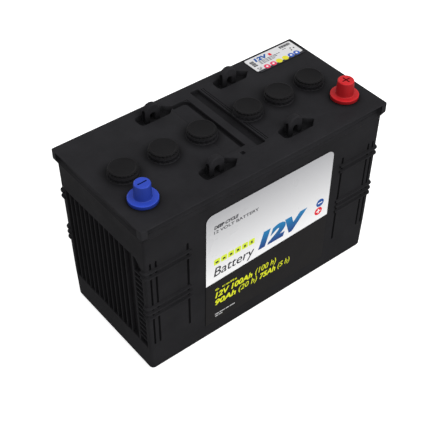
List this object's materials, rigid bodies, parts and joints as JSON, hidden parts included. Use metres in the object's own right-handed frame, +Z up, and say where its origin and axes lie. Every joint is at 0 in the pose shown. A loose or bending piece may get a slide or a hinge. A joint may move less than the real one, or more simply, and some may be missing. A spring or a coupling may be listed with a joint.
{
  "type": "deep cycle battery",
  "caption": "Flooded deep cycle battery in a ribbed black case, with screw vent plugs, capped posts, rope lugs and tubular plate cells inside.",
  "frame": {"origin": "centre of the flat base, midway between the lid's sides", "axes": "+X along the case from the negative to the positive terminal, +Z up, -Y towards the face with the large label"},
  "size_m": [0.345, 0.168, 0.2535],
  "materials": {
    "case_plastic": "satin moulded black",
    "lid_plastic": "satin moulded black",
    "plug_plastic": "fine grained black",
    "seal_rubber": "matt",
    "lead": null,
    "blue_plastic": "semi gloss",
    "red_plastic": "semi gloss",
    "label_film": "printed film",
    "label_paper": "coated paper",
    "lead_oxide": "matt brown fabric tubes filled with oxide",
    "separator_sheet": "matt porous sheet"
  },
  "bodies": {
    "root": {"case": "case_plastic", "lid": "lid_plastic", "negative_bushing": "lead", "negative_post": "lead", "positive_bushing": "lead", "positive_post": "lead", "front_label": "label_film", "top_label": "label_paper", "positive_plates_1": "lead_oxide", "positive_plates_2": "lead_oxide", "positive_plates_3": "lead_oxide", "positive_plates_4": "lead_oxide", "positive_plates_5": "lead_oxide", "positive_plates_6": "lead_oxide", "negative_plates_1": "lead", "negative_plates_2": "lead", "negative_plates_3": "lead", "negative_plates_4": "lead", "negative_plates_5": "lead", "negative_plates_6": "lead", "separator_1": "separator_sheet", "separator_2": "separator_sheet", "separator_3": "separator_sheet", "separator_4": "separator_sheet", "separator_5": "separator_sheet", "separator_6": "separator_sheet", "plate_protector_1": "separator_sheet", "plate_protector_2": "separator_sheet", "plate_protector_3": "separator_sheet", "plate_protector_4": "separator_sheet", "plate_protector_5": "separator_sheet", "plate_protector_6": "separator_sheet", "intercell_link_1": "lead", "intercell_link_2": "lead", "intercell_link_3": "lead", "intercell_link_4": "lead", "intercell_link_5": "lead"},
    "vent_seal_1": {"vent_seal_1": "seal_rubber"},
    "vent_plug_1": {"vent_plug_1": "plug_plastic"},
    "vent_seal_2": {"vent_seal_2": "seal_rubber"},
    "vent_plug_2": {"vent_plug_2": "plug_plastic"},
    "vent_seal_3": {"vent_seal_3": "seal_rubber"},
    "vent_plug_3": {"vent_plug_3": "plug_plastic"},
    "vent_seal_4": {"vent_seal_4": "seal_rubber"},
    "vent_plug_4": {"vent_plug_4": "plug_plastic"},
    "vent_seal_5": {"vent_seal_5": "seal_rubber"},
    "vent_plug_5": {"vent_plug_5": "plug_plastic"},
    "vent_seal_6": {"vent_seal_6": "seal_rubber"},
    "vent_plug_6": {"vent_plug_6": "plug_plastic"},
    "negative_cover": {"negative_cover": "blue_plastic"},
    "positive_cover": {"positive_cover": "red_plastic"}
  },
  "joints": [
    {"name": "vent_plug_1_rise", "type": "slide", "parent": "root", "child": "vent_seal_1", "axis": [0, 0, 1], "range_m": [0, 0.0076]},
    {"name": "vent_plug_1_turn", "type": "hinge", "parent": "vent_seal_1", "child": "vent_plug_1", "pos_m": [-0.1346, 0.001, 0.2357], "axis": [0, 0, 1], "range_deg": [0, 900]},
    {"name": "vent_plug_2_rise", "type": "slide", "parent": "root", "child": "vent_seal_2", "axis": [0, 0, 1], "range_m": [0, 0.0076]},
    {"name": "vent_plug_2_turn", "type": "hinge", "parent": "vent_seal_2", "child": "vent_plug_2", "pos_m": [-0.0822, 0.001, 0.2357], "axis": [0, 0, 1], "range_deg": [0, 900]},
    {"name": "vent_plug_3_rise", "type": "slide", "parent": "root", "child": "vent_seal_3", "axis": [0, 0, 1], "range_m": [0, 0.0076]},
    {"name": "vent_plug_3_turn", "type": "hinge", "parent": "vent_seal_3", "child": "vent_plug_3", "pos_m": [-0.0302, 0.001, 0.2357], "axis": [0, 0, 1], "range_deg": [0, 900]},
    {"name": "vent_plug_4_rise", "type": "slide", "parent": "root", "child": "vent_seal_4", "axis": [0, 0, 1], "range_m": [0, 0.0076]},
    {"name": "vent_plug_4_turn", "type": "hinge", "parent": "vent_seal_4", "child": "vent_plug_4", "pos_m": [0.0356, 0.001, 0.2357], "axis": [0, 0, 1], "range_deg": [0, 900]},
    {"name": "vent_plug_5_rise", "type": "slide", "parent": "root", "child": "vent_seal_5", "axis": [0, 0, 1], "range_m": [0, 0.0076]},
    {"name": "vent_plug_5_turn", "type": "hinge", "parent": "vent_seal_5", "child": "vent_plug_5", "pos_m": [0.0815, 0.001, 0.2357], "axis": [0, 0, 1], "range_deg": [0, 900]},
    {"name": "vent_plug_6_rise", "type": "slide", "parent": "root", "child": "vent_seal_6", "axis": [0, 0, 1], "range_m": [0, 0.0076]},
    {"name": "vent_plug_6_turn", "type": "hinge", "parent": "vent_seal_6", "child": "vent_plug_6", "pos_m": [0.1283, 0.001, 0.2357], "axis": [0, 0, 1], "range_deg": [0, 900]},
    {"name": "negative_cover_lift", "type": "slide", "parent": "root", "child": "negative_cover", "axis": [0, 0, 1], "range_m": [0, 0.03]},
    {"name": "positive_cover_lift", "type": "slide", "parent": "root", "child": "positive_cover", "axis": [0, 0, 1], "range_m": [0, 0.03]}
  ],
  "couplings": [
    {"joint": "vent_plug_1_rise", "follows": "vent_plug_1_turn", "m_per_rad": 0.00047746},
    {"joint": "vent_plug_2_rise", "follows": "vent_plug_2_turn", "m_per_rad": 0.00047746},
    {"joint": "vent_plug_3_rise", "follows": "vent_plug_3_turn", "m_per_rad": 0.00047746},
    {"joint": "vent_plug_4_rise", "follows": "vent_plug_4_turn", "m_per_rad": 0.00047746},
    {"joint": "vent_plug_5_rise", "follows": "vent_plug_5_turn", "m_per_rad": 0.00047746},
    {"joint": "vent_plug_6_rise", "follows": "vent_plug_6_turn", "m_per_rad": 0.00047746}
  ]
}
